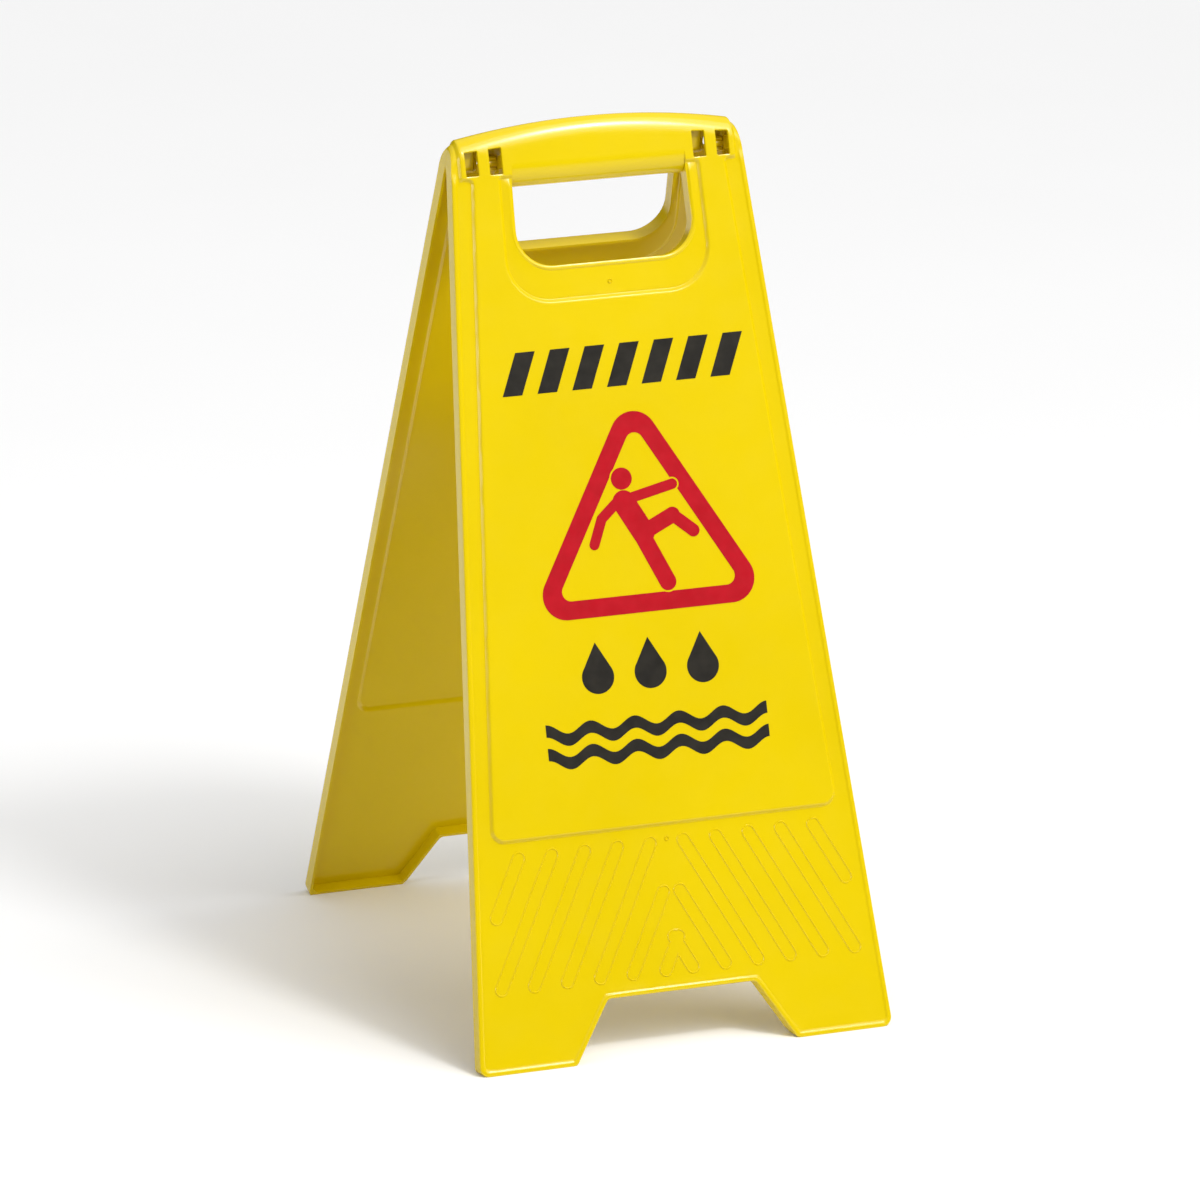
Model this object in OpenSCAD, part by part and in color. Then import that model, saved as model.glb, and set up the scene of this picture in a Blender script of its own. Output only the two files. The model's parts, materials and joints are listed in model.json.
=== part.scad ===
// Folding wet floor sign: two identical moulded halves, hinged at the top and standing as an A.
// Row frame: X along the hinge, front half at -Y, +Z up, origin on the floor below the hinge.

/* [Stance] */
// Width across the feet
foot_width = 300; // [260:1:330]
// Length of one half, from the hinge axis down its outer face to the floor
panel_length = 615.4; // [580:1:640]
// Lean of each half from the vertical, with the sign standing open
lean = 17.6; // [14:0.1:20]
// Widening of the half-width for each millimetre down the panel
taper = 0.0736; // [0.06:0.001:0.085]

/* [Moulding] */
// Distance from the hinge axis out to the border's face
face_offset = 12.2; // [11:0.1:14]
// Wall thickness
wall = 2.2; // [1.8:0.1:2.6]
// How far the raised field stands above the border
rise = 2.2; // [1.5:0.1:2.6]
// Gap from each half's inner edge to the plane through the hinge
centre_gap = 1.4; // [1:0.1:2]
// Width of the rim bead along the edge
rim_w = 4; // [3:0.5:5]
// Height of the rim and opening beads
bead_h = 0.9; // [0.4:0.1:1.2]

/* [Handle] */
// Height of the arch above the hinge axis at the middle
arch_h = 27.5; // [25:0.5:29]
// Radius of the arch
arch_r = 518; // [480:1:620]
// Radius of the arch's end corners
arch_end_r = 7; // [5:0.5:8]
// Distance from the hinge axis down to the handle's lower edge
grip_drop = 17.5; // [16:0.5:20]
// Half-width of the hand opening at the handle
grip_half = 62.4; // [56:0.2:63]
// Distance from the hinge axis down to the bottom of the hand opening
grip_bottom = 73.3; // [68:0.1:80]
// Corner radius of the hand opening
grip_r = 25; // [18:1:28]

/* [Hinge] */
// Distance of the inner hinge stations from the middle
inner_station = 73.3; // [73:0.1:74]
// Distance of the outer hinge stations from the middle
outer_station = 90.5; // [90:0.1:91]
// Width of a hinge window
window_w = 9; // [8:0.2:9.2]
// How far a window reaches above the hinge axis
window_up = 10.5; // [9:0.5:11]
// How far a window reaches below the hinge axis
window_down = 8.5; // [7:0.5:9.5]
// Radius of a hinge pin bar
pin_r = 3; // [2.6:0.1:3.2]
// Running clearance between a pin bar and its hook
pin_clear = 0.06; // [0.03:0.01:0.1]
// Wall of a hook
hook_wall = 2.3; // [2:0.1:2.4]
// Width of a hook
hook_w = 7.6; // [7:0.1:7.8]
// Thickness of the ribs that carry a pin bar
rib_t = 1.8; // [1.5:0.1:2]

/* [Raised field] */
// Half-width of the raised field at the hinge axis
field_half = 91.3; // [90:0.1:92]
// Widening of the raised field for each millimetre down the panel
field_taper = 0.0757; // [0.07:0.001:0.08]
// Distance from the hinge axis down to the field's lower edge
field_bottom = 460.2; // [450:1:465]
// Half-width of the field's wider zone around the windows
shoulder_half = 100.5; // [99.5:0.1:101]
// Distance from the hinge axis down to the end of that wider zone
shoulder_drop = 12; // [11:0.5:13]
// Half-width of the low area around the hand opening
recess_half = 70.4; // [69:0.1:71]
// Distance from the hinge axis down to the bottom of that low area
recess_bottom = 96; // [92:1:100]

/* [Feet] */
// Half-width of the foot notch at the floor
notch_half = 80.15; // [70:0.5:90]
// Half-width of the foot notch at its top
notch_top_half = 53.4; // [45:0.5:60]
// Height of the foot notch along the panel
notch_h = 42.8; // [35:0.5:50]

/* [Ribs] */
// Spacing of the slanted grip loops
loop_pitch = 23.7; // [23:0.1:25]
// Overall width of a loop
loop_w = 10; // [9:0.5:11]
// Sideways run of a loop for each millimetre down the panel
loop_slant = 0.52; // [0.45:0.01:0.54]

/* [Print] */
// Thickness of the ink
ink_t = 0.2; // [0.1:0.05:0.3]
// Corner radius outside the triangle
tri_r = 17; // [14:1:18]
// Width of the triangle's band
tri_band = 12.5; // [10:0.5:13]

/* [Hidden] */
$fn = 64;
yellow = [0.95, 0.83, 0.02];
black = [0.15, 0.14, 0.12];
red = [0.74, 0.02, 0.08];

field_z = face_offset + rise;
axis_z = panel_length * cos(lean) - face_offset * sin(lean);
top_half = foot_width / 2 - taper * panel_length;
sheet_bottom = panel_length + 0.4;
loop_top = 466;
loop_bottom = 563;
short_loop_bottom = 514.5;
low_loop_top = 500;
chevron_top = 531;
loop_start = 9.3;
loop_wall = 1.3;
loop_h = 0.6;
gate_r = 1.6;
gate_drops = [87.3, 469];
end_x = top_half - 0.3;
half_stations = [0, 15, 30, 45, 60, 75, 88, 97.7, 100.4, 100.6, 102.5, 104, end_x];
stations = [for (i = [len(half_stations) - 1 : -1 : 1]) -half_stations[i], each half_stations];
arc_steps = 9;
butt_gap = 0.1;
roll_lap = 3;
rib_end_r = 4.6;

// ---- Outlines, as points with +Y up the panel and Y = 0 at the hinge axis ----

function unit(v) = v / norm(v);

// Arc of radius r that rounds the corner at b
function corner_arc(a, b, c, r, n) =
    let (u = unit(a - b), v = unit(c - b), half = acos(u * v) / 2,
        centre = b + unit(u + v) * r / sin(half),
        start = b + u * r / tan(half) - centre,
        stop = b + v * r / tan(half) - centre,
        from = atan2(start.y, start.x),
        turn = (atan2(stop.y, stop.x) - from + 540) % 360 - 180)
    [for (i = [0 : n]) centre + r * [cos(from + turn * i / n), sin(from + turn * i / n)]];

// Outline with a radius at each corner
function rounded(pts, radii, steps = 6) =
    let (n = len(pts))
    [for (i = [0 : n - 1])
        each radii[i] <= 0 ? [pts[i]]
            : corner_arc(pts[(i + n - 1) % n], pts[i], pts[(i + 1) % n], radii[i], steps)];

// Anticlockwise outline moved in by d, or out where d is negative
function inset(pts, d) =
    let (n = len(pts))
    [for (i = [0 : n - 1])
        let (e0 = unit(pts[i] - pts[(i + n - 1) % n]),
            e1 = unit(pts[(i + 1) % n] - pts[i]),
            n0 = [-e0.y, e0.x],
            n1 = [-e1.y, e1.x])
        pts[i] + (n0 + n1) * d / (1 + n0 * n1)];

function half_at(drop) = top_half + taper * drop;
function field_at(drop) = field_half + field_taper * drop;

above = 30;
splay = 1.6;
edge_pts = [
    [-half_at(sheet_bottom), -sheet_bottom],
    [-notch_half, -sheet_bottom],
    [-notch_top_half, notch_h - sheet_bottom],
    [notch_top_half, notch_h - sheet_bottom],
    [notch_half, -sheet_bottom],
    [half_at(sheet_bottom), -sheet_bottom],
    [half_at(-above), above],
    [-half_at(-above), above]];
edge_radii = [7, 5, 5, 5, 5, 7, 0, 0];

grip_pts = [
    [-grip_half - splay, -grip_bottom],
    [grip_half + splay, -grip_bottom],
    [grip_half, 1],
    [-grip_half, 1]];

recess_pts = [
    [-recess_half - splay, -recess_bottom],
    [recess_half + splay, -recess_bottom],
    [recess_half, -shoulder_drop],
    [-recess_half, -shoulder_drop]];

field_pts = [
    [-field_at(field_bottom), -field_bottom],
    [field_at(field_bottom), -field_bottom],
    [field_at(shoulder_drop), -shoulder_drop],
    [shoulder_half, -shoulder_drop],
    [shoulder_half, above],
    [-shoulder_half, above],
    [-shoulder_half, -shoulder_drop],
    [-field_at(shoulder_drop), -shoulder_drop]];
field_radii = [10, 10, 2, 2, 0, 0, 2, 2];

module below_axis() {
    intersection() {
        children();
        translate([-foot_width, -panel_length - 10])
            square([2 * foot_width, panel_length + 10]);
    }
}

module edge_2d(d) {
    polygon(rounded(inset(edge_pts, d), [for (r = edge_radii) max(r - d, 0)]));
}

module grip_2d(d) {
    polygon(rounded(inset(grip_pts, -d), [grip_r + d, grip_r + d, 0, 0]));
}

module recess_2d(d) {
    polygon(rounded(inset(recess_pts, -d), [grip_r + 4 + d, grip_r + 4 + d, 0, 0]));
}

// The raised field's outline, moved in by d, without the low area around the hand opening
module field_2d(d) {
    difference() {
        polygon(rounded(inset(field_pts, d), [for (r = field_radii) max(r - d / 2, 0)]));
        recess_2d(d);
    }
}

module layer(from, to) {
    translate([0, 0, from])
        linear_extrude(to - from)
            below_axis() children();
}

// ---- The flat part of a half, in its own frame: X across, Y up the panel, Z outwards ----

module sheet() {
    difference() {
        union() {
            layer(face_offset - wall, face_offset) edge_2d(0);
            layer(face_offset - wall, field_z) field_2d(0);
        }
        layer(face_offset - 2 * wall, field_z - wall) field_2d(wall);
        layer(0, field_z + 1) grip_2d(0);
    }
}

module edge_flange() {
    layer(centre_gap, face_offset)
        difference() {
            edge_2d(0);
            edge_2d(wall);
        }
    // The feet's lower walls are thicker, because their ends are cut level with the floor
    for (s = [-1, 1])
        translate([s > 0 ? notch_half + 5 : -half_at(sheet_bottom) + 5, -sheet_bottom, centre_gap])
            cube([half_at(sheet_bottom) - notch_half - 10, 3 * wall, face_offset - centre_gap]);
    layer(face_offset, face_offset + bead_h)
        difference() {
            edge_2d(0);
            edge_2d(rim_w);
        }
}

module grip_flange() {
    layer(centre_gap, face_offset)
        difference() {
            grip_2d(wall);
            grip_2d(0);
        }
    layer(face_offset, face_offset + bead_h)
        difference() {
            grip_2d(wall + 1);
            grip_2d(0);
        }
}

// Underside of the handle, curling in from the face to the lower edge
module grip_curl() {
    depth = field_z - centre_gap;
    drop = grip_drop - roll_lap;
    outer = [for (a = [0 : 10 : 90]) [-roll_lap - drop * sin(a), centre_gap + depth * cos(a)]];
    inner = [for (a = [90 : -10 : 0])
        [-roll_lap - (drop - wall) * sin(a), centre_gap + (depth - wall) * cos(a)]];
    translate([-grip_half - wall, 0, 0])
        rotate([90, 0, 90])
            linear_extrude(2 * (grip_half + wall))
                polygon([[0, field_z], each outer, each inner, [0, field_z - wall]]);
}

// A slot-shaped outline between two points
module slot_2d(a, b, r, step = 15) {
    turn = atan2(b.y - a.y, b.x - a.x);
    polygon([
        for (t = [90 : step : 270]) a + r * [cos(turn + t), sin(turn + t)],
        for (t = [-90 : step : 90]) b + r * [cos(turn + t), sin(turn + t)]]);
}

// One slanted loop's area on each of the given sides; x is where its line meets the loops' top
module loop_2d(sides, x, from, to, r) {
    high = from + loop_w / 2;
    low = to - loop_w / 2;
    for (s = sides)
        slot_2d([s * (x + loop_slant * (high - loop_top)), -high],
            [s * (x + loop_slant * (low - loop_top)), -low], r);
}

// The raised outline of a loop, or of loops on both sides that meet in the middle
module grip_loop(sides, i, from, to) {
    x = loop_start + i * loop_pitch;
    translate([0, 0, face_offset])
        linear_extrude(loop_h)
            difference() {
                loop_2d(sides, x, from, to, loop_w / 2);
                loop_2d(sides, x, from, to, loop_w / 2 - loop_wall);
            }
}

// Four long loops on each side, a short one outside them, one that starts lower down, and a chevron
module grip_pattern() {
    for (s = [-1, 1]) {
        for (i = [0 : 3])
            grip_loop([s], i, loop_top, loop_bottom);
        grip_loop([s], 4, loop_top, short_loop_bottom);
        grip_loop([s], -1, low_loop_top, loop_bottom);
    }
    grip_loop([-1, 1], -2, chevron_top, loop_bottom);
}

module gate_marks() {
    for (i = [0, 1])
        translate([0, -gate_drops[i], face_offset - 1])
            cylinder(r = gate_r, h = 1.5);
}

// ---- The rolled top, in the panel's own frame ----

function crown(x) =
    let (over = abs(x) - (end_x - arch_end_r))
    arch_h - arch_r + sqrt(arch_r * arch_r - x * x)
        - (over > 0 ? arch_end_r - sqrt(max(arch_end_r * arch_end_r - over * over, 0)) : 0);

// A point given upright from the hinge axis, by its place along Y and its height
function from_upright(y, z) = [y * sin(lean) + z * cos(lean), z * sin(lean) - y * cos(lean)];

// Section at x: up the face, round an ellipse that meets it smoothly, and over to the middle
function roll_section(x, d, reach) =
    let (out = (abs(x) > shoulder_half - d ? face_offset : field_z) - d,
        b = crown(x) - d,
        a = sqrt(out * out - pow(b * sin(lean), 2)) / cos(lean),
        from = atan(b / a * tan(lean)))
    [[-roll_lap - d, out],
        for (i = [0 : arc_steps - 1])
            let (t = from + (90 - from) * i / arc_steps)
            from_upright(-a * cos(t), b * sin(t)),
        from_upright(reach, b),
        from_upright(reach, 5),
        [-roll_lap - d, d > 0 ? -2 : centre_gap]];

module loft(xs, d, reach) {
    rings = [for (x = xs) [for (p = roll_section(x, d, reach)) [x, p.x, p.y]]];
    m = len(rings[0]);
    n = len(xs);
    polyhedron(
        points = [for (r = rings) each r],
        faces = [
            [for (i = [m - 1 : -1 : 0]) i],
            [for (i = [0 : m - 1]) (n - 1) * m + i],
            for (j = [0 : n - 2])
                for (i = [0 : m - 1])
                    let (k = (i + 1) % m)
                    each [[j * m + i, j * m + k, (j + 1) * m + i],
                        [j * m + k, (j + 1) * m + k, (j + 1) * m + i]]]);
}

module roll() {
    difference() {
        loft(stations, 0, -butt_gap);
        loft([for (x = stations) x * (end_x - wall) / end_x], wall, 2);
    }
}

// ---- Hinge ----

module across(x, w) {
    translate([x - w / 2, 0, 0])
        rotate([90, 0, 90])
            linear_extrude(w)
                children();
}

module windows() {
    for (s = [-1, 1])
        for (x = [inner_station, outer_station])
            translate([s * x - window_w / 2, -window_down, 8])
                cube([window_w, window_down + window_up, 14]);
}

// Pin bar between two ribs, in the panel's own frame
module pin_bar(x) {
    reach = window_w / 2 + 0.1 + rib_t;
    translate([x - reach, 0, 0])
        rotate([0, 90, 0])
            cylinder(r = pin_r, h = 2 * reach);
    for (s = [-1, 1])
        across(x + s * (reach - rib_t / 2), rib_t) {
            circle(rib_end_r);
            translate([-rib_end_r, 0]) square([2 * rib_end_r, field_z - wall + 0.1]);
        }
}

// Snap hook that hangs from the roll and grips the other half's pin bar, in upright axes
module hook(x) {
    bore = pin_r + pin_clear;
    web = 3.2;
    mouth = 0.62 * bore;
    difference() {
        across(x, hook_w)
            difference() {
                union() {
                    circle(bore + hook_wall);
                    translate([-bore - hook_wall, 0]) square([web, crown(x) - wall / 2 - 1]);
                }
                translate([mouth, -10]) square([10, 20]);
            }
        translate([x - hook_w, 0, 0])
            rotate([0, 90, 0])
                cylinder(r = bore, h = 2 * hook_w);
    }
}

// ---- One half, standing open ----

module leaned() {
    translate([0, 0, axis_z])
        rotate([90 - lean, 0, 0])
            children();
}

module half() {
    difference() {
        union() {
            leaned() {
                difference() {
                    union() {
                        sheet();
                        roll();
                    }
                    windows();
                }
                edge_flange();
                grip_flange();
                grip_curl();
                grip_pattern();
                gate_marks();
                pin_bar(-inner_station);
                pin_bar(outer_station);
            }
            translate([0, 0, axis_z]) {
                hook(-outer_station);
                hook(inner_station);
            }
        }
        translate([-foot_width, -foot_width, -50])
            cube([2 * foot_width, 2 * foot_width, 50]);
    }
}

// ---- Print ----

module ink() {
    translate([0, 0, field_z])
        linear_extrude(ink_t)
            children();
}

module stripes_2d() {
    count = 7;
    pitch = 25;
    for (i = [0 : count - 1])
        translate([(i - (count - 1) / 2) * pitch + 2.5, -159])
            polygon([[-13, 0], [1, 0], [13, 29], [-1, 29]]);
}

tri_pts = [[-84, -314], [94, -314], [5, -160]];

module triangle_2d() {
    inner_r = tri_r - tri_band + 2;
    difference() {
        polygon(rounded(tri_pts, [tri_r, tri_r, tri_r], 18));
        polygon(rounded(inset(tri_pts, tri_band), [inner_r, inner_r, inner_r], 12));
    }
}

// A slipping figure, as joined strokes; grow widens it for the clear line around it
module figure_2d(grow) {
    strokes = [
        [[-7, -238], [5, -260], 8],
        [[-3, -236], [29, -229], 3.6],
        [[-11, -237], [-24, -248], 3.6],
        [[-24, -248], [-31, -265], 3.6],
        [[5, -260], [27, -250], 5.4],
        [[27, -250], [41, -262], 4.4],
        [[4, -262], [19, -295], 6]];
    translate([-7, -222]) circle(7.5 + grow);
    for (s = strokes)
        slot_2d(s[0], s[1], s[2] + grow, 6);
}

module drop_2d() {
    circle(11.5);
    polygon([[-10.6, 4.5], [10.6, 4.5], [0, 23.5]]);
}

module drops_2d() {
    for (x = [-38, 0, 38])
        translate([x, -354.5]) drop_2d();
}

// Two bands that follow a wave of five crests
module waves_2d() {
    left = -79;
    length = 160;
    crests = 5;
    steps = 80;
    for (y = [-391, -407])
        polygon([
            for (i = [0 : steps])
                [left + length * i / steps, y + 3.6 * cos(360 * crests * i / steps) + 4.2],
            for (i = [steps : -1 : 0])
                [left + length * i / steps, y + 3.6 * cos(360 * crests * i / steps) - 4.2]]);
}

// ---- Nodes ----

module front() {
    leaned() children();
}

module rear() {
    rotate([0, 0, 180]) leaned() children();
}

module front_panel() { color(yellow) half(); }
module rear_panel() { color(yellow) rotate([0, 0, 180]) half(); }

module stripes() { color(black) ink() stripes_2d(); }
module triangle() {
    color(red) ink()
        difference() {
            triangle_2d();
            figure_2d(1.2);
        }
}
module figure() { color(red) ink() figure_2d(0); }
module drops() { color(black) ink() drops_2d(); }
module waves() { color(black) ink() waves_2d(); }

front_panel();
rear_panel();
front() stripes();  // front_stripes
front() triangle();  // front_triangle
front() figure();  // front_figure
front() drops();  // front_drops
front() waves();  // front_waves
rear() stripes();  // rear_stripes
rear() triangle();  // rear_triangle
rear() figure();  // rear_figure
rear() drops();  // rear_drops
rear() waves();  // rear_waves
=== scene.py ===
import json
import math

import bpy
import numpy as np
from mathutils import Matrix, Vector
from mathutils.geometry import delaunay_2d_cdt


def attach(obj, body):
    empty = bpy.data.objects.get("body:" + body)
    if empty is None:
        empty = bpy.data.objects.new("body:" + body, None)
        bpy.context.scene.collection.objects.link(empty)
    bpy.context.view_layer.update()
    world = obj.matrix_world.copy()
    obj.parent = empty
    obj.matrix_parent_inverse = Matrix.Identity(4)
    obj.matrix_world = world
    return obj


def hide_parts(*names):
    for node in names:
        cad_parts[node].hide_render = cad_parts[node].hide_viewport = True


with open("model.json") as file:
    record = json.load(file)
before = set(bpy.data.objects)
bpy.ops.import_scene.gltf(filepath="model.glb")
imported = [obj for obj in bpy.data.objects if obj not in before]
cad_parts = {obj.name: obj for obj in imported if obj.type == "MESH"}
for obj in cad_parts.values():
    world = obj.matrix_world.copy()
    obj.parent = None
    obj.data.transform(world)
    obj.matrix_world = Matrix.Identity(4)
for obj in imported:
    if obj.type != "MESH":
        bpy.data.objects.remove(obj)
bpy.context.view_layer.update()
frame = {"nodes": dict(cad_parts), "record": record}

# Sizes in millimetres, the same as the CAD's. A panel's own frame has X across, Y up the panel from
# the hinge axis and Z outwards, so most of the panel has negative Y.
MM = 0.001
LEAN = math.radians(17.6)
AXIS_Z = frame["record"]["behaviour"]["joints"][0]["pos_m"][2] / MM
TAPER = 0.0736
LENGTH = 615.4
FOOT_HALF = 150
TOP_HALF = FOOT_HALF - TAPER * LENGTH

# The sheet. Its ends run a little past the floor and are cut level with it, so the flange along
# the feet starts higher.
BOTTOM = LENGTH + 0.4
FLANGE_BOTTOM = 611.9
WALL = 2.2
RISE = 2.2
FACE = 12.2
FIELD = FACE + RISE
CENTRE_GAP = 1.4
BEAD_H = 0.9
FOOT_R = 7
NOTCH_HALF = 80.15
NOTCH_TOP_HALF = 53.4
NOTCH_H = 42.8
NOTCH_R = 5

# The raised field, with its wider shoulders round the windows
FIELD_HALF = 91.3
FIELD_TAPER = 0.0757
FIELD_BOTTOM = 460.2
FIELD_R = 10
SHOULDER_HALF = 100.5
SHOULDER_DROP = 12
SHOULDER_R = 2

# The handle, the hand opening and the low area round it
ARCH_H = 27.5
ARCH_R = 518
ARCH_END_R = 7
BUTT_GAP = 0.12
GRIP_DROP = 17.5
GRIP_HALF = 62.4
GRIP_BOTTOM = 73.3
GRIP_R = 25
RECESS_HALF = 70.4
RECESS_BOTTOM = 96
RECESS_R = GRIP_R + 4
SPLAY = 1.6

# The hinge
STATIONS = {"inner": 73.3, "outer": 90.5}
WINDOW_W = 9
WINDOW_UP = 10.5
WINDOW_DOWN = 8.5
WINDOW_R = 0.7
PIN_R = 3
HOOK_BORE = 3.06
HOOK_R = 5.36
HOOK_W = 7.6
HOOK_MOUTH = math.radians(52)
HOOK_STEM = 2.2
RIB_T = 1.8
RIB_END_R = 4.6
RIB_GAP = 0.1
RIB_LAP = 0.3

# The grip loops and the gate marks
LOOP_PITCH = 23.7
LOOP_SLANT = 0.52
LOOP_TOP = 466
LOOP_BOTTOM = 563
SHORT_LOOP_BOTTOM = 514.5
LOW_LOOP_TOP = 500
CHEVRON_TOP = 531
LOOP_START = 9.3
LOOP_R = 5
LOOP_WALL = 1.3
LOOP_CREST = 0.4
LOOP_SIDE = (LOOP_WALL - LOOP_CREST) / 2
LOOP_H = 0.55
GATES = [(0, -87.3), (0, -469)]

# Where the roll begins, how much of the flat pattern above there is bent round the roll, and how
# far up the outlines that the roll cuts off run
ROLL_START = -3
ROLL_TOP = 27
FAR_UP = 200

# How finely the surface is drawn
CORNER_STEPS = 7
GRIP_STEPS = 12
WINDOW_STEPS = 3
SLOT_STEPS = 8
GATE_STEPS = 16
PIN_STEPS = 28
ROLL_STEPS = 40
CURL_STEP = 7.5
LINE_STEP = 6
ROLL_LINE_STEP = 2
GRID_HALF = 94
GRID_X = 4
GRID_Y = 1.5
GRID_CLEAR = 1.4
WELD = 0.02
LEAST_AREA = 1e-7
SHARP_ANGLE = math.radians(38)


# ---- Outlines ----

def unit(v):
    return v / np.linalg.norm(v)


def rounded(points, radii, steps=CORNER_STEPS):
    """An anticlockwise outline with a radius at each corner."""
    points = np.asarray(points, float)
    out = []
    for i, (corner, r) in enumerate(zip(points, radii)):
        if r <= 0:
            out.append(corner)
            continue
        u = unit(points[i - 1] - corner)
        v = unit(points[(i + 1) % len(points)] - corner)
        half = math.acos(float(u @ v)) / 2
        centre = corner + unit(u + v) * r / math.sin(half)
        start = corner + u * r / math.tan(half) - centre
        stop = corner + v * r / math.tan(half) - centre
        a = math.atan2(start[1], start[0])
        turn = (math.atan2(stop[1], stop[0]) - a + math.pi) % math.tau - math.pi
        for k in range(steps + 1):
            t = a + turn * k / steps
            out.append(centre + r * np.array([math.cos(t), math.sin(t)]))
    return np.array(out)


def inset(points, d):
    """An anticlockwise outline moved in by d, or out where d is negative."""
    points = np.asarray(points, float)
    out = []
    for i, p in enumerate(points):
        e0 = unit(p - points[i - 1])
        e1 = unit(points[(i + 1) % len(points)] - p)
        n0 = np.array([-e0[1], e0[0]])
        n1 = np.array([-e1[1], e1[0]])
        out.append(p + (n0 + n1) * d / (1 + n0 @ n1))
    return np.array(out)


def half_at(drop):
    return TOP_HALF + TAPER * drop


def field_at(drop):
    return FIELD_HALF + FIELD_TAPER * drop


def edge_outline(d, bottom=BOTTOM):
    """The panel's edge moved in by d, running on far above the hinge."""
    below_notch = bottom - BOTTOM + NOTCH_H
    notch_foot = NOTCH_TOP_HALF + (NOTCH_HALF - NOTCH_TOP_HALF) * below_notch / NOTCH_H
    points = [
        (-half_at(bottom), -bottom),
        (-notch_foot, -bottom),
        (-NOTCH_TOP_HALF, NOTCH_H - BOTTOM),
        (NOTCH_TOP_HALF, NOTCH_H - BOTTOM),
        (notch_foot, -bottom),
        (half_at(bottom), -bottom),
        (half_at(-FAR_UP), FAR_UP),
        (-half_at(-FAR_UP), FAR_UP),
    ]
    radii = [FOOT_R, NOTCH_R, NOTCH_R, NOTCH_R, NOTCH_R, FOOT_R, 0, 0]
    return rounded(inset(points, d), [max(r - d, 0) for r in radii])


def field_outline(d):
    """The raised field's edge moved in by d, running on far above the hinge."""
    low = field_at(FIELD_BOTTOM)
    high = field_at(SHOULDER_DROP)
    points = [
        (-low, -FIELD_BOTTOM),
        (low, -FIELD_BOTTOM),
        (high, -SHOULDER_DROP),
        (SHOULDER_HALF, -SHOULDER_DROP),
        (SHOULDER_HALF, FAR_UP),
        (-SHOULDER_HALF, FAR_UP),
        (-SHOULDER_HALF, -SHOULDER_DROP),
        (-high, -SHOULDER_DROP),
    ]
    low_r = max(FIELD_R - d, 1)
    radii = [low_r, low_r, SHOULDER_R + d, SHOULDER_R, 0, 0, SHOULDER_R, SHOULDER_R + d]
    return rounded(inset(points, d), radii)


def recess_outline(d):
    """The low area around the hand opening, moved out by d."""
    points = [
        (-RECESS_HALF - SPLAY, -RECESS_BOTTOM),
        (RECESS_HALF + SPLAY, -RECESS_BOTTOM),
        (RECESS_HALF, -SHOULDER_DROP),
        (-RECESS_HALF, -SHOULDER_DROP),
    ]
    radii = [RECESS_R + d, RECESS_R + d, 1 + d, 1 + d]
    return rounded(inset(points, -d), radii, GRIP_STEPS)


def grip_outline(d, top=ROLL_START):
    """The hand opening, moved out by d at its sides and bottom."""
    points = [
        (-GRIP_HALF - SPLAY, -GRIP_BOTTOM),
        (GRIP_HALF + SPLAY, -GRIP_BOTTOM),
        (GRIP_HALF, top),
        (-GRIP_HALF, top),
    ]
    out = inset(points, -d)
    out[2:, 1] = top
    return rounded(out, [GRIP_R + d, GRIP_R + d, 0, 0], GRIP_STEPS)


def window_outline(x, d):
    """A window over the hinge station at x, moved out by d."""
    left, right = x - (WINDOW_W / 2 + d), x + (WINDOW_W / 2 + d)
    low, high = -WINDOW_DOWN - d, WINDOW_UP + d
    points = [(left, low), (right, low), (right, high), (left, high)]
    return rounded(points, [WINDOW_R + d] * 4, WINDOW_STEPS)


def slot_outline(a, b, r):
    """A slot-shaped outline between the points a and b."""
    turn = math.atan2(b[1] - a[1], b[0] - a[0])
    ends = []
    for centre, start in ((a, math.pi / 2), (b, -math.pi / 2)):
        for k in range(SLOT_STEPS + 1):
            t = turn + start + math.pi * k / SLOT_STEPS
            ends.append((centre[0] + r * math.cos(t), centre[1] + r * math.sin(t)))
    return np.array(ends)


def circle_outline(centre, r, steps):
    turns = [math.tau * k / steps for k in range(steps)]
    return np.array([(centre[0] + r * math.cos(t), centre[1] + r * math.sin(t)) for t in turns])


def arc(r, start, stop, steps):
    return [(r * math.cos(t), r * math.sin(t)) for t in np.linspace(start, stop, steps)]


def grip_loops():
    """The two ends of each slanted loop's middle line. The last pair crosses in a chevron."""
    spans = [(LOOP_START + i * LOOP_PITCH, LOOP_TOP, LOOP_BOTTOM) for i in range(4)]
    spans.append((LOOP_START + 4 * LOOP_PITCH, LOOP_TOP, SHORT_LOOP_BOTTOM))
    spans.append((LOOP_START - LOOP_PITCH, LOW_LOOP_TOP, LOOP_BOTTOM))
    spans.append((LOOP_START - 2 * LOOP_PITCH, CHEVRON_TOP, LOOP_BOTTOM))
    loops = []
    for side in (-1, 1):
        for x, high, low in spans:
            ends = []
            for drop in (high + LOOP_R, low - LOOP_R):
                ends.append((side * (x + LOOP_SLANT * (drop - LOOP_TOP)), -drop))
            loops.append(ends)
    return loops


def window_places():
    return [side * x for side in (-1, 1) for x in STATIONS.values()]


# ---- Distances and heights ----

def segment_distance(p, a, b):
    ab = b - a
    t = np.clip(((p - a) @ ab) / (ab @ ab), 0, 1)
    return np.linalg.norm(p - a - t[:, None] * ab, axis=1)


def inside_distance(p, loop):
    """Distance of each point to a closed outline, positive inside it."""
    near = np.full(len(p), np.inf)
    inside = np.zeros(len(p), bool)
    for a, b in zip(loop, np.roll(loop, -1, axis=0)):
        near = np.minimum(near, segment_distance(p, a, b))
        if a[1] != b[1]:
            crosses = (a[1] > p[:, 1]) != (b[1] > p[:, 1])
            at = a[0] + (p[:, 1] - a[1]) * (b[0] - a[0]) / (b[1] - a[1])
            inside ^= crosses & (p[:, 0] < at)
    return np.where(inside, near, -near)


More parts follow.
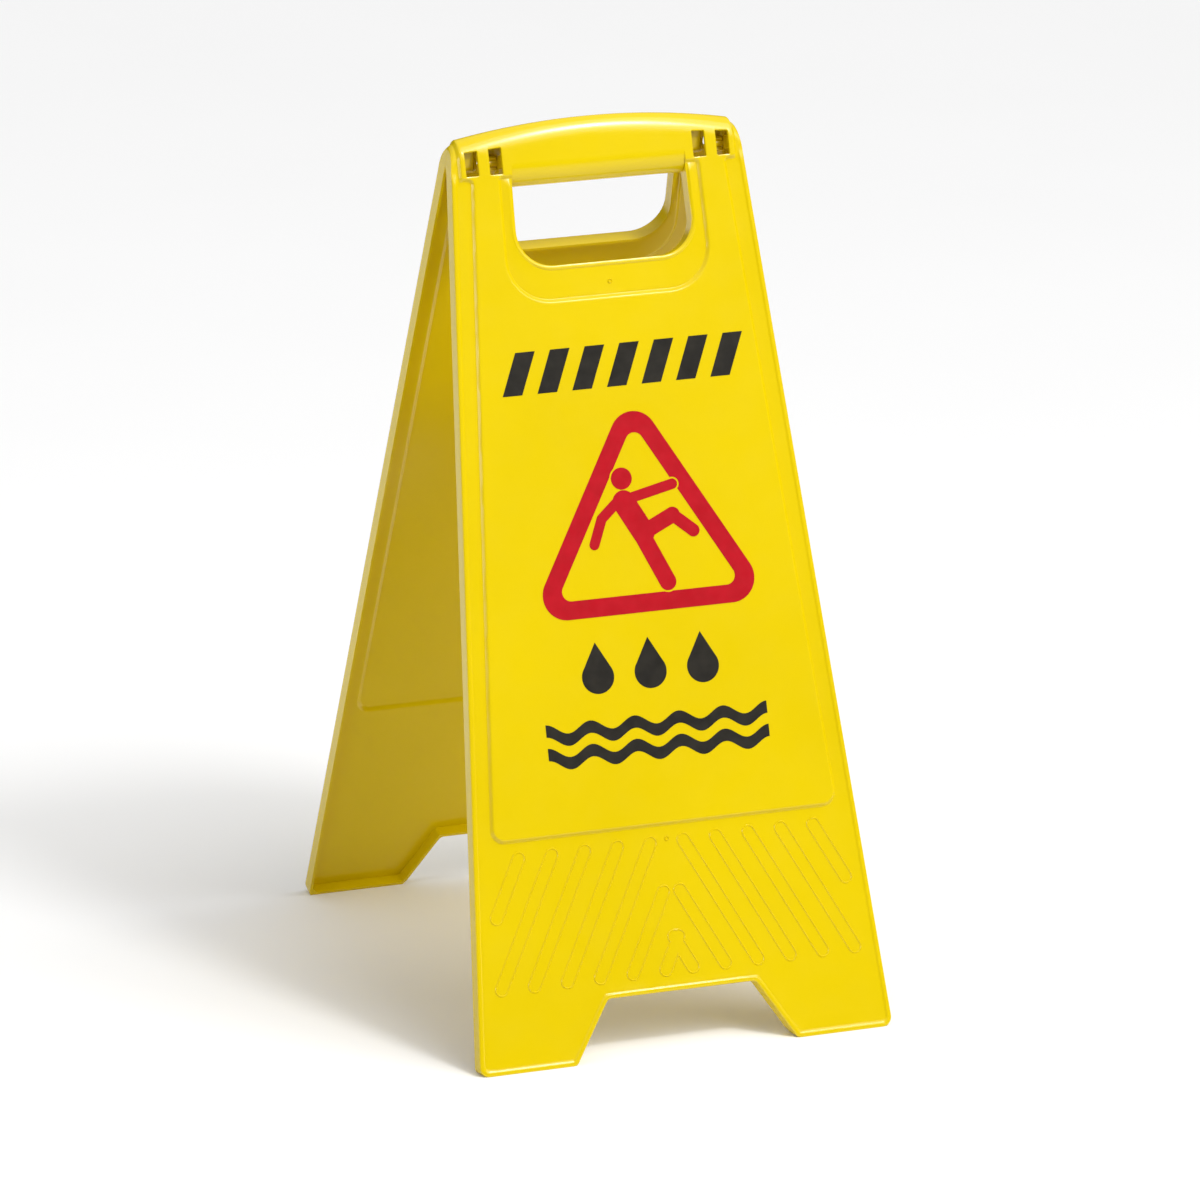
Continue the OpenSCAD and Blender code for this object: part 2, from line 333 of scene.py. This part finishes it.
# Distances from an outline at which the surface changes slope, and how high it is at each one, as
# a share of the feature's full height
FIELD_RINGS = [0, 0.5, 1.9, 2.6]
FIELD_SHARES = [0, 0.12, 0.88, 1]
POCKET_RINGS = [0.5, 1.9, 2.6, 3.8]
POCKET_SHARES = [0, 0.3, 0.7, 1]
EDGE_RINGS = [0, 0.3, 1.0, 2.8, 3.4, 4.2]
GRIP_RINGS = [0, 0.3, 1.0, 2.2, 2.8, 3.4]
BEAD_SHARES = [-0.15, 0.6, 1, 1, 0.65, 0]
LOOP_RINGS = [LOOP_R, LOOP_R - LOOP_SIDE, LOOP_R - LOOP_SIDE - LOOP_CREST, LOOP_R - LOOP_WALL]

# The same for a window's rounded-down edge and a gate mark, with heights in millimetres
WINDOW_RINGS = [0, 0.25, 0.8]
WINDOW_DROPS = [0.55, 0.15, 0]
GATE_RINGS = [0, 0.9, 1.3, 1.8]
GATE_HEIGHTS = [0.15, 0.3, 0.9, 0]

# Distances below the hinge axis over which the beads fade in, and half the width of the step at a
# flange's inner side
RIM_FADE = [6, 12]
LIP_FADE = [12, 16]
FLANGE_FADE = 1.2
FLANGE_STEP = 0.25


def field_distance(p):
    """Distance of each point into the raised field, negative outside it."""
    return np.minimum(
        inside_distance(p, field_outline(0)), -inside_distance(p, recess_outline(0)))


def outer_height(p):
    """Height of the outer face over the panel's own frame."""
    raised = np.interp(field_distance(p), FIELD_RINGS, FIELD_SHARES)
    rim = np.interp(inside_distance(p, edge_outline(0)), EDGE_RINGS, BEAD_SHARES)
    rim *= np.interp(-p[:, 1], RIM_FADE, [0, 1])
    lip = np.interp(-inside_distance(p, grip_outline(0, FAR_UP)), GRIP_RINGS, BEAD_SHARES)
    lip *= np.interp(-p[:, 1], LIP_FADE, [0, 1])
    height = FACE + RISE * raised + BEAD_H * rim + BEAD_H * lip * (1 - raised)
    from_middle = np.min([segment_distance(p, *np.array(ends)) for ends in grip_loops()], axis=0)
    from_crest = np.abs(from_middle - LOOP_R + LOOP_WALL / 2)
    height += LOOP_H * np.interp(from_crest, [LOOP_CREST / 2, LOOP_WALL / 2], [1, 0])
    for gate in GATES:
        height += np.interp(np.linalg.norm(p - gate, axis=1), GATE_RINGS, GATE_HEIGHTS)
    for x in window_places():
        from_window = -inside_distance(p, window_outline(x, 0))
        height -= np.interp(from_window, WINDOW_RINGS, WINDOW_DROPS)
    return height


def flange_shares(p):
    """1 on the inward flange and 0 off it, for the edge's flange and the hand opening's."""
    edge = inside_distance(p, edge_outline(WALL, FLANGE_BOTTOM))
    grip = -inside_distance(p, grip_outline(0, FAR_UP)) - WALL
    on_edge = np.interp(edge, [-FLANGE_STEP, FLANGE_STEP], [1, 0])
    on_grip = np.interp(grip, [-FLANGE_STEP, FLANGE_STEP], [1, 0])
    on_grip *= np.interp(ROLL_START - p[:, 1], [0, FLANGE_FADE], [0, 1])
    return on_edge, on_grip


def inner_height(p):
    """Height of the inner face, with the pocket behind the field and the flanges."""
    pocket = np.interp(field_distance(p), POCKET_RINGS, POCKET_SHARES)
    base = FACE - WALL + RISE * pocket
    return base + (CENTRE_GAP - base) * np.maximum(*flange_shares(p))


# ---- Bending the flat pattern onto the rolled top ----

def crown(x):
    """Height of the arch above the hinge axis."""
    over = np.maximum(np.abs(x) - (TOP_HALF - ARCH_END_R), 0)
    end = ARCH_END_R - np.sqrt(np.maximum(ARCH_END_R ** 2 - over ** 2, 0))
    return ARCH_H - ARCH_R + np.sqrt(ARCH_R ** 2 - x ** 2) - end


def from_upright(y, z):
    """The panel's own Y and Z of a point given upright from the hinge axis."""
    return (y * math.sin(LEAN) + z * math.cos(LEAN), z * math.sin(LEAN) - y * math.cos(LEAN))


def on_roll(x, share, offset):
    """A panel's own Y and Z at a share of the way over the roll, moved outwards by offset."""
    b = float(crown(x))
    a = math.sqrt(FIELD ** 2 - (b * math.sin(LEAN)) ** 2) / math.cos(LEAN)
    first = math.atan(b / a * math.tan(LEAN))
    turns = np.linspace(first, math.pi / 2, ROLL_STEPS)
    ys, zs = -a * np.cos(turns), b * np.sin(turns)
    runs = np.concatenate([[0], np.cumsum(np.hypot(np.diff(ys), np.diff(zs)))])
    flat = from_upright(ys[0], zs[0])[0] - ROLL_START
    along = share * (flat + runs[-1])
    if along <= flat:
        return ROLL_START + along, FIELD + offset
    turn = float(np.interp(along - flat, runs, turns))
    normal = unit(np.array([-math.cos(turn) / a, math.sin(turn) / b]))
    y = -a * math.cos(turn) + normal[0] * offset
    z = b * math.sin(turn) + normal[1] * offset
    return from_upright(min(y, -BUTT_GAP), z)


def placed(p, height, caps=None):
    """Points of the flat pattern at their heights, in the panel's own frame.

    A point where caps is over 0.5 is on the flange that closes an end of the roll, and lies where
    the two halves meet.
    """
    out = np.column_stack([p, height])
    for i in np.nonzero(p[:, 1] > ROLL_START + 1e-6)[0]:
        share = (p[i, 1] - ROLL_START) / (ROLL_TOP - ROLL_START)
        if caps is not None and caps[i] > 0.5:
            y, z = on_roll(p[i, 0], share, FACE - FIELD)
            upright_z = y * math.cos(LEAN) + z * math.sin(LEAN)
            out[i, 1:] = from_upright(-BUTT_GAP, upright_z)
        else:
            out[i, 1:] = on_roll(p[i, 0], share, height[i] - FIELD)
    return out


# ---- The panel's surface ----

class Pattern:
    """Lines and points that a flat triangulation keeps."""

    def __init__(self):
        self.points = []
        self.edges = []

    def add(self, points):
        first = len(self.points)
        self.points += [tuple(p) for p in points]
        return first

    def line(self, points, closed=True):
        """An outline in steps that are shorter where the roll will bend it."""
        ends = list(zip(points, np.roll(points, -1, axis=0)))
        if not closed:
            ends = ends[:-1]
        kept = []
        for a, b in ends:
            step = ROLL_LINE_STEP if max(a[1], b[1]) > ROLL_START - 2 else LINE_STEP
            n = max(1, math.ceil(np.linalg.norm(b - a) / step))
            kept += [a + (b - a) * k / n for k in range(n)]
        if not closed:
            kept.append(points[-1])
        first = self.add(kept)
        last = first + len(kept) - 1
        self.edges += [(i, i + 1) for i in range(first, last)]
        if closed:
            self.edges.append((last, first))

    def open_line(self, outline):
        """An outline that runs on far above the hinge, cut where the roll ends."""
        at = int(np.argmax(outline[:, 1] > FAR_UP / 2))
        points = np.roll(outline, -at - 1, axis=0)
        ends = []
        for high, low in ((points[0], points[1]), (points[-1], points[-2])):
            t = (ROLL_TOP - low[1]) / (high[1] - low[1])
            ends.append(low + (high - low) * t)
        self.line(np.vstack([ends[0], points[1:-1], ends[1]]), closed=False)


def panel_pattern():
    """The line or ring of every change of slope, and a grid of points where the roll is."""
    pattern = Pattern()
    flange_sides = [WALL - FLANGE_STEP, WALL + FLANGE_STEP]
    for d in EDGE_RINGS:
        pattern.open_line(edge_outline(d))
    for d in flange_sides:
        pattern.open_line(edge_outline(d, FLANGE_BOTTOM))
    for d in FIELD_RINGS + POCKET_RINGS[-1:]:
        pattern.open_line(field_outline(d))
        pattern.line(recess_outline(d))
    pattern.line(grip_outline(0))
    for d in GRIP_RINGS[1:] + flange_sides:
        outline = grip_outline(d)
        pattern.line(np.vstack([outline[-1:], outline[:-1]]), closed=False)
    for x in window_places():
        for d in WINDOW_RINGS:
            pattern.line(window_outline(x, d))
    for a, b in grip_loops():
        for r in LOOP_RINGS:
            pattern.line(slot_outline(a, b, r))
    for gate in GATES:
        for r in GATE_RINGS[1:]:
            pattern.line(circle_outline(gate, r, GATE_STEPS))
    top = half_at(-ROLL_TOP)
    pattern.line(np.array([(-top, ROLL_TOP), (top, ROLL_TOP)], float), closed=False)
    rows = np.arange(ROLL_START + GRID_Y, ROLL_TOP - 0.5, GRID_Y)
    columns = np.arange(-GRID_HALF, GRID_HALF + 1, GRID_X)
    grid = np.array([(x, y) for x in columns for y in rows])
    clear = np.ones(len(grid), bool)
    for x in window_places():
        clear &= inside_distance(grid, window_outline(x, GRID_CLEAR)) < 0
    pattern.add(grid[clear])
    return pattern


def flat_triangles(pattern):
    """The pattern's points and anticlockwise triangles, without the openings."""
    points = [Vector(p) for p in pattern.points]
    found = delaunay_2d_cdt(points, pattern.edges, [], 0, WELD, False)
    p = np.array([tuple(v) for v in found[0]])
    tris = np.array([f for f in found[2] if len(f) == 3])
    middle = p[tris].mean(axis=1)
    keep = (inside_distance(middle, edge_outline(0)) > 0) & (middle[:, 1] < ROLL_TOP)
    keep &= inside_distance(middle, grip_outline(0)) < 0
    for x in window_places():
        keep &= inside_distance(middle, window_outline(x, 0)) < 0
    tris = tris[keep]
    ab, ac = p[tris[:, 1]] - p[tris[:, 0]], p[tris[:, 2]] - p[tris[:, 0]]
    area = ab[:, 0] * ac[:, 1] - ac[:, 0] * ab[:, 1]
    wide = np.abs(area) > LEAST_AREA
    tris, area = tris[wide], area[wide]
    tris[area < 0] = tris[area < 0][:, ::-1]
    used = np.unique(tris)
    index = np.full(len(p), -1)
    index[used] = np.arange(len(used))
    return p[used], index[tris]


def rim_edges(tris):
    """Edges that only one triangle has, in that triangle's direction."""
    edges = dict.fromkeys((int(t[k - 1]), int(t[k])) for t in tris for k in (1, 2, 0))
    return [(i, j) for i, j in edges if (j, i) not in edges]


class Shell:
    """A mesh in the making: vertices in the panel's own frame, in millimetres, and faces."""

    def __init__(self):
        self.verts = []
        self.faces = []

    def add(self, verts, faces):
        first = len(self.verts)
        self.verts += [tuple(map(float, v)) for v in verts]
        self.faces += [tuple(int(i) + first for i in f) for f in faces]
        return first


def curl(shell, columns, top_outer, top_inner):
    """The handle's underside, from the face round to its lower edge and back up inside."""
    depth = FIELD - CENTRE_GAP
    drop = GRIP_DROP + ROLL_START
    turns = np.radians(np.arange(CURL_STEP, 91, CURL_STEP))
    rows = [[], []]
    for side, wall in enumerate((0, WALL)):
        for turn in turns:
            y = ROLL_START - (drop - wall) * math.sin(turn)
            z = CENTRE_GAP + (depth - wall) * math.cos(turn)
            first = shell.add([(x, y, z) for x in columns], [])
            rows[side].append([first + k for k in range(len(columns))])
    outer = [top_outer] + rows[0]
    inner = [top_inner] + rows[1]
    last = len(columns) - 1
    for high, low in zip(outer, outer[1:]):
        shell.faces += [(high[k + 1], high[k], low[k], low[k + 1]) for k in range(last)]
    for high, low in zip(inner, inner[1:]):
        shell.faces += [(high[k], high[k + 1], low[k + 1], low[k]) for k in range(last)]
    shell.faces += [
        (outer[-1][k + 1], outer[-1][k], inner[-1][k], inner[-1][k + 1]) for k in range(last)]
    for i in range(len(turns)):
        shell.faces.append((outer[i + 1][0], outer[i][0], inner[i][0], inner[i + 1][0]))
        shell.faces.append((outer[i][last], outer[i + 1][last], inner[i + 1][last], inner[i][last]))


def bar(shell, outline, x0, x1):
    """A prism along X over an outline of own Y and Z."""
    n = len(outline)
    verts = [(x, y, z) for x in (x0, x1) for y, z in outline]
    faces = [tuple(range(n - 1, -1, -1)), tuple(range(n, 2 * n))]
    faces += [(k, (k + 1) % n, n + (k + 1) % n, n + k) for k in range(n)]
    shell.add(verts, faces)


def pin_bar(shell, x):
    """The bar at the station x that the other half's hook holds, and the ribs at its ends."""
    reach = WINDOW_W / 2 + RIB_GAP + RIB_T
    bar(shell, circle_outline((0, 0), PIN_R, PIN_STEPS), x - reach + RIB_GAP, x + reach - RIB_GAP)
    root = FIELD - WALL + RIB_LAP
    outline = arc(RIB_END_R, math.pi, math.tau, 15) + [(RIB_END_R, root), (-RIB_END_R, root)]
    for side in (-1, 1):
        a, b = x + side * (reach - RIB_T), x + side * reach
        bar(shell, outline, min(a, b), max(a, b))


def hook(shell, x):
    """A C-shaped snap hook, open towards the other half, on a stem down from the roll."""
    top = float(crown(np.array(x))) - 2
    outer = arc(HOOK_R, HOOK_MOUTH, math.acos(-HOOK_STEM / HOOK_R), 8)
    outer += [(-HOOK_STEM, top), (-HOOK_R, top - 1.5)]
    outer += arc(HOOK_R, math.pi, math.tau - HOOK_MOUTH, 14)
    inner = arc(HOOK_BORE, math.tau - HOOK_MOUTH, HOOK_MOUTH, 24)
    outline = [from_upright(y, z) for y, z in outer + inner]
    bar(shell, outline[::-1], x - HOOK_W / 2, x + HOOK_W / 2)


def panel_shell():
    """One half in its own frame: two faces closed along their edges, the curl and the hinge."""
    p, tris = flat_triangles(panel_pattern())
    n = len(p)
    shell = Shell()
    shell.add(placed(p, outer_height(p)), tris)
    on_edge, _ = flange_shares(p)
    shell.add(placed(p, inner_height(p), on_edge), tris[:, ::-1])
    at_curl = (np.abs(p[:, 1] - ROLL_START) < 1e-3) & (np.abs(p[:, 0]) < GRIP_HALF + 0.01)
    for i, j in rim_edges(tris):
        if not (at_curl[i] and at_curl[j]):
            shell.faces.append((j, i, i + n, j + n))
    columns = sorted(np.nonzero(at_curl)[0], key=lambda i: p[i, 0])
    curl(shell, [p[i, 0] for i in columns], columns, [i + n for i in columns])
    pin_bar(shell, -STATIONS["inner"])
    pin_bar(shell, STATIONS["outer"])
    hook(shell, -STATIONS["outer"])
    hook(shell, STATIONS["inner"])
    return shell


def panel(name, node, body, shell, turn, material):
    """One moulded half at its place, standing on the floor."""
    own = np.array(shell.verts)
    y = own[:, 1] * math.sin(LEAN) - own[:, 2] * math.cos(LEAN)
    z = AXIS_Z + own[:, 1] * math.cos(LEAN) + own[:, 2] * math.sin(LEAN)
    z = np.maximum(z, 0)
    verts = np.column_stack([turn * own[:, 0], turn * y, z]) * MM
    mesh = bpy.data.meshes.new(name)
    mesh.from_pydata(verts.tolist(), [], shell.faces)
    mesh.validate()
    mesh.polygons.foreach_set("use_smooth", [True] * len(mesh.polygons))
    mesh.set_sharp_from_angle(angle=SHARP_ANGLE)
    mesh.materials.append(material)
    obj = bpy.data.objects.new(name, mesh)
    bpy.context.scene.collection.objects.link(obj)
    weighted = obj.modifiers.new("flat faces stay flat", "WEIGHTED_NORMAL")
    weighted.keep_sharp = True
    weighted.weight = 60
    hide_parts(node)
    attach(obj, body)


# ---- Materials ----

# Each colour drifts between two close shades
YELLOW = [(0.715, 0.528, 0.0), (0.745, 0.552, 0.0005)]
BLACK = [(0.014, 0.012, 0.009), (0.022, 0.019, 0.014)]
RED = [(0.42, 0.001, 0.008), (0.47, 0.002, 0.011)]
PAPER = [(0.93, 0.93, 0.93), (0.95, 0.95, 0.95)]

# Spans of the noise that are spread over a whole range, with values outside held at its ends
NARROW = (0.35, 0.65)
WIDE = (0.3, 0.7)


class Nodes:
    """A material's node tree, with short calls for the nodes used here."""

    def __init__(self, name):
        self.material = bpy.data.materials.new(name)
        self.material.use_nodes = True
        self.tree = self.material.node_tree
        self.shader = next(n for n in self.tree.nodes if n.type == "BSDF_PRINCIPLED")
        self.place = self.tree.nodes.new("ShaderNodeTexCoord").outputs["Object"]

    def link(self, a, b):
        self.tree.links.new(a, b)

    def noise(self, scale, detail, stretch=(1, 1, 1)):
        mapping = self.tree.nodes.new("ShaderNodeMapping")
        mapping.inputs["Scale"].default_value = stretch
        self.link(self.place, mapping.inputs["Vector"])
        node = self.tree.nodes.new("ShaderNodeTexNoise")
        node.inputs["Scale"].default_value = scale
        node.inputs["Detail"].default_value = detail
        self.link(mapping.outputs[0], node.inputs["Vector"])
        return node.outputs["Fac"]

    def ranged(self, value, source, target):
        node = self.tree.nodes.new("ShaderNodeMapRange")
        node.inputs["From Min"].default_value = source[0]
        node.inputs["From Max"].default_value = source[1]
        node.inputs["To Min"].default_value = target[0]
        node.inputs["To Max"].default_value = target[1]
        self.link(value, node.inputs["Value"])
        return node.outputs[0]

    def shaded(self, share, shades):
        """The base colour, between two shades."""
        node = self.tree.nodes.new("ShaderNodeMix")
        node.data_type = "RGBA"
        self.link(share, node.inputs["Factor"])
        for name, shade in zip("AB", shades):
            node.inputs[name].default_value = (*shade, 1)
        self.link(node.outputs["Result"], self.shader.inputs["Base Color"])

    def bump(self, height, strength, distance, under=None):
        node = self.tree.nodes.new("ShaderNodeBump")
        node.inputs["Strength"].default_value = strength
        node.inputs["Distance"].default_value = distance
        self.link(height, node.inputs["Height"])
        if under is not None:
            self.link(under, node.inputs["Normal"])
        return node.outputs[0]


def yellow_plastic():
    """Glossy plastic, with soft waves that run up the panel and a fine grain."""
    nodes = Nodes("yellow_plastic")
    shader = nodes.shader
    nodes.shaded(nodes.ranged(nodes.noise(7, detail=2), NARROW, (0, 1)), YELLOW)
    patch = nodes.noise(55, detail=4)
    nodes.link(nodes.ranged(patch, WIDE, (0.17, 0.23)), shader.inputs["Roughness"])
    ripple = nodes.noise(22, detail=1, stretch=(1, 1, 0.35))
    waves = nodes.bump(ripple, strength=0.03, distance=0.001)
    grain = nodes.bump(nodes.noise(1900, detail=2), strength=0.10, distance=0.00012, under=waves)
    nodes.link(grain, shader.inputs["Normal"])
    shader.inputs["IOR"].default_value = 1.49
    shader.inputs["Specular IOR Level"].default_value = 0.45
    return nodes.material


def ink(name, shades):
    """Screen-printed ink, a little duller than the plastic."""
    nodes = Nodes(name)
    shader = nodes.shader
    nodes.shaded(nodes.ranged(nodes.noise(90, detail=4), NARROW, (0, 1)), shades)
    patch = nodes.noise(240, detail=3)
    nodes.link(nodes.ranged(patch, WIDE, (0.36, 0.5)), shader.inputs["Roughness"])
    grain = nodes.bump(nodes.noise(2600, detail=2), strength=0.14, distance=0.0001)
    nodes.link(grain, shader.inputs["Normal"])
    shader.inputs["IOR"].default_value = 1.47
    shader.inputs["Specular IOR Level"].default_value = 0.22
    return nodes.material


def print_materials():
    black = ink("black_ink", BLACK)
    red = ink("red_ink", RED)
    inks = {"stripes": black, "drops": black, "waves": black, "triangle": red, "figure": red}
    for name, obj in frame["nodes"].items():
        kind = name.rpartition("_")[2]
        if kind in inks:
            obj.data.materials.clear()
            obj.data.materials.append(inks[kind])


# ---- Studio, in metres ----

FLOOR_HALF = 16
KEY_FROM = (0.45, -0.5, 0.74)
KEY_ENERGY = 1.6
KEY_ANGLE = math.radians(50)
CAMERA_AZIMUTH = math.radians(-19.59)
CAMERA_ELEVATION = math.radians(17.78)
CAMERA_TARGET = (0.0014, -0.0141, 0.2678)
CAMERA_DISTANCE = 5.3825
CAMERA_LENS = 233.07


def studio():
    paper = Nodes("paper_floor")
    paper.shaded(paper.noise(3, detail=2), PAPER)
    paper.shader.inputs["Roughness"].default_value = 0.9
    corners = [(x * FLOOR_HALF, y * FLOOR_HALF, 0) for x, y in ((-1, -1), (1, -1), (1, 1), (-1, 1))]
    mesh = bpy.data.meshes.new("floor")
    mesh.from_pydata(corners, [], [(0, 1, 2, 3)])
    mesh.materials.append(paper.material)
    floor = bpy.data.objects.new("floor", mesh)
    bpy.context.scene.collection.objects.link(floor)
    sky()
    bpy.context.scene.view_settings.view_transform = "Standard"
    sun = bpy.data.lights.new("key", "SUN")
    sun.energy = KEY_ENERGY
    sun.angle = KEY_ANGLE
    key = bpy.data.objects.new("key", sun)
    key.rotation_euler = Vector(KEY_FROM).to_track_quat("Z", "Y").to_euler()
    bpy.context.scene.collection.objects.link(key)
    lamp("roll_light", place=(0.67, -1.26, 2.14), target=(0, 0, 0.6), size=0.42, power=20)
    lamp("edge_light", place=(-2.6, -0.5, 0.9), target=(0, 0, 0.35), size=0.7, power=8)


def sky():
    """A room that is bright overhead and dim near the horizon."""
    heights = (0.25, 0.8)
    strengths = (0.04, 0.80)
    world = bpy.data.worlds.new("studio")
    world.use_nodes = True
    tree = world.node_tree
    direction = tree.nodes.new("ShaderNodeTexCoord").outputs["Generated"]
    split = tree.nodes.new("ShaderNodeSeparateXYZ")
    ramp = tree.nodes.new("ShaderNodeMapRange")
    ramp.inputs["From Min"].default_value, ramp.inputs["From Max"].default_value = heights
    ramp.inputs["To Min"].default_value, ramp.inputs["To Max"].default_value = strengths
    tree.links.new(direction, split.inputs[0])
    tree.links.new(split.outputs["Z"], ramp.inputs["Value"])
    background = tree.nodes["Background"]
    background.inputs["Color"].default_value = (1, 1, 1, 1)
    tree.links.new(ramp.outputs[0], background.inputs["Strength"])
    bpy.context.scene.world = world


def lamp(name, place, target, size, power):
    light = bpy.data.lights.new(name, "AREA")
    light.shape = "DISK"
    light.size = size
    light.energy = power
    obj = bpy.data.objects.new(name, light)
    obj.location = place
    obj.rotation_euler = (Vector(target) - Vector(place)).to_track_quat("-Z", "Y").to_euler()
    bpy.context.scene.collection.objects.link(obj)


def camera():
    back = Vector((math.sin(CAMERA_AZIMUTH) * math.cos(CAMERA_ELEVATION),
                   -math.cos(CAMERA_AZIMUTH) * math.cos(CAMERA_ELEVATION),
                   math.sin(CAMERA_ELEVATION)))
    data = bpy.data.cameras.new("camera")
    data.lens = CAMERA_LENS
    data.sensor_width = 36
    data.clip_end = 60
    obj = bpy.data.objects.new("camera", data)
    obj.location = Vector(CAMERA_TARGET) + back * CAMERA_DISTANCE
    obj.rotation_euler = back.to_track_quat("Z", "Y").to_euler()
    bpy.context.scene.collection.objects.link(obj)
    bpy.context.scene.camera = obj


camera()
studio()
print_materials()
yellow = yellow_plastic()
shell = panel_shell()
panel("front_moulding", "front_panel", "front", shell, 1, yellow)
panel("rear_moulding", "rear_panel", "rear", shell, -1, yellow)
